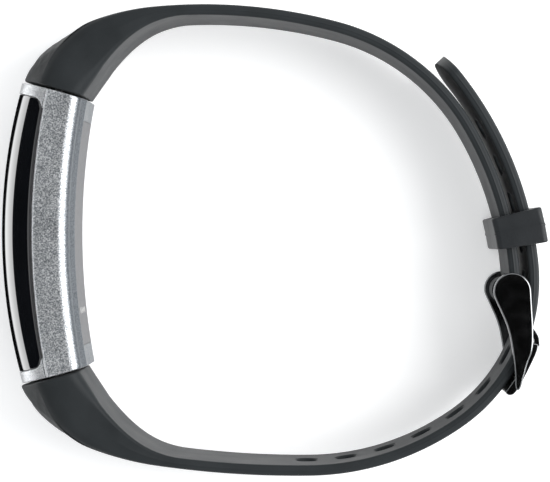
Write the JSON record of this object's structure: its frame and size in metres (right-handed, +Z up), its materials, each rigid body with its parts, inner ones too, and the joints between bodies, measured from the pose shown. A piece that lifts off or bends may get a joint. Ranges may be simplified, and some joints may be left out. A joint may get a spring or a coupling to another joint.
{
  "type": "fitness tracker band",
  "caption": "Slim fitness tracker with a domed black glass in a silver frame, on a black silicone strap with a gloss black pin buckle and a sliding keeper, buckled.",
  "frame": {"origin": "centre of the buckled band's outline, on the plane its side rests on", "axes": "+X from the tracker capsule to the buckle, +Y towards the buckle strap, +Z up along the loop's axis"},
  "size_m": [0.078, 0.0672, 0.019],
  "materials": {
    "case_metal": "bead-blasted silver",
    "glass_black": "gloss black",
    "strap_silicone": "satin black",
    "keeper_silicone": "satin black",
    "buckle_black": "gloss black with polished edges",
    "bar_steel": "bright",
    "screw_steel": "dark",
    "cover_plastic": "satin",
    "inner_plastic": "matt",
    "seal_rubber": "matt",
    "contact_nickel": "nickel plated",
    "board_green": "solder mask",
    "chip_black": "moulded",
    "shield_tin": "tinned",
    "cell_foil": "foil",
    "display_black": "dark panel",
    "flex_amber": "polyimide",
    "motor_metal": "bright",
    "weight_metal": "sintered"
  },
  "bodies": {
    "root": {"case_frame": "case_metal", "front_glass": "glass_black", "glass_gasket": "seal_rubber", "display_panel": "display_black", "display_carrier": "inner_plastic", "display_flex": "flex_amber", "main_board": "board_green", "board_shield": "shield_tin", "board_chips": "chip_black", "battery": "cell_foil", "inner_chassis": "inner_plastic", "antenna": "contact_nickel", "motor_case": "motor_metal", "rear_cover": "cover_plastic", "rear_seal": "seal_rubber", "charging_contacts": "contact_nickel", "strap_screws": "screw_steel", "upper_strap_insert": "bar_steel", "lower_strap_insert": "bar_steel", "upper_strap": "strap_silicone", "lower_strap": "strap_silicone", "bar_tube": "bar_steel", "bar_spring": "bar_steel"},
    "rotor": {"motor_rotor": "weight_metal"},
    "keeper": {"keeper": "keeper_silicone"},
    "buckle": {"buckle_frame": "buckle_black"},
    "tongue": {"buckle_tongue": "buckle_black"},
    "tip_top": {"bar_tip_top": "bar_steel"},
    "tip_base": {"bar_tip_base": "bar_steel"}
  },
  "joints": [
    {"name": "buckle_pivot", "type": "hinge", "parent": "root", "child": "buckle", "pos_m": [0.0338, -0.00725, 0.0095], "axis": [0, 0, 1], "range_deg": [0, 4]},
    {"name": "tongue_pivot", "type": "hinge", "parent": "buckle", "child": "tongue", "pos_m": [0.0338, -0.00725, 0.0095], "axis": [0, 0, 1], "range_deg": [0, 2]},
    {"name": "keeper_slide", "type": "hinge", "parent": "root", "child": "keeper", "pos_m": [-0.01366, -0.00842, 0.0095], "axis": [0, 0, 1], "range_deg": [-2.5, 20]},
    {"name": "tip_top_push", "type": "slide", "parent": "root", "child": "tip_top", "axis": [0, 0, -1], "range_m": [0, 0.00085], "stiffness_N_per_m": 200, "springref_m": -0.001, "deforming": ["bar_spring"]},
    {"name": "tip_base_push", "type": "slide", "parent": "root", "child": "tip_base", "axis": [0, 0, 1], "range_m": [0, 0.00085], "stiffness_N_per_m": 200, "springref_m": -0.001, "deforming": ["bar_spring"]},
    {"name": "motor_spin", "type": "hinge", "parent": "root", "child": "rotor", "pos_m": [-0.0314, 0.014, 0.0095], "axis": [0, 0, 1], "continuous": true}
  ]
}
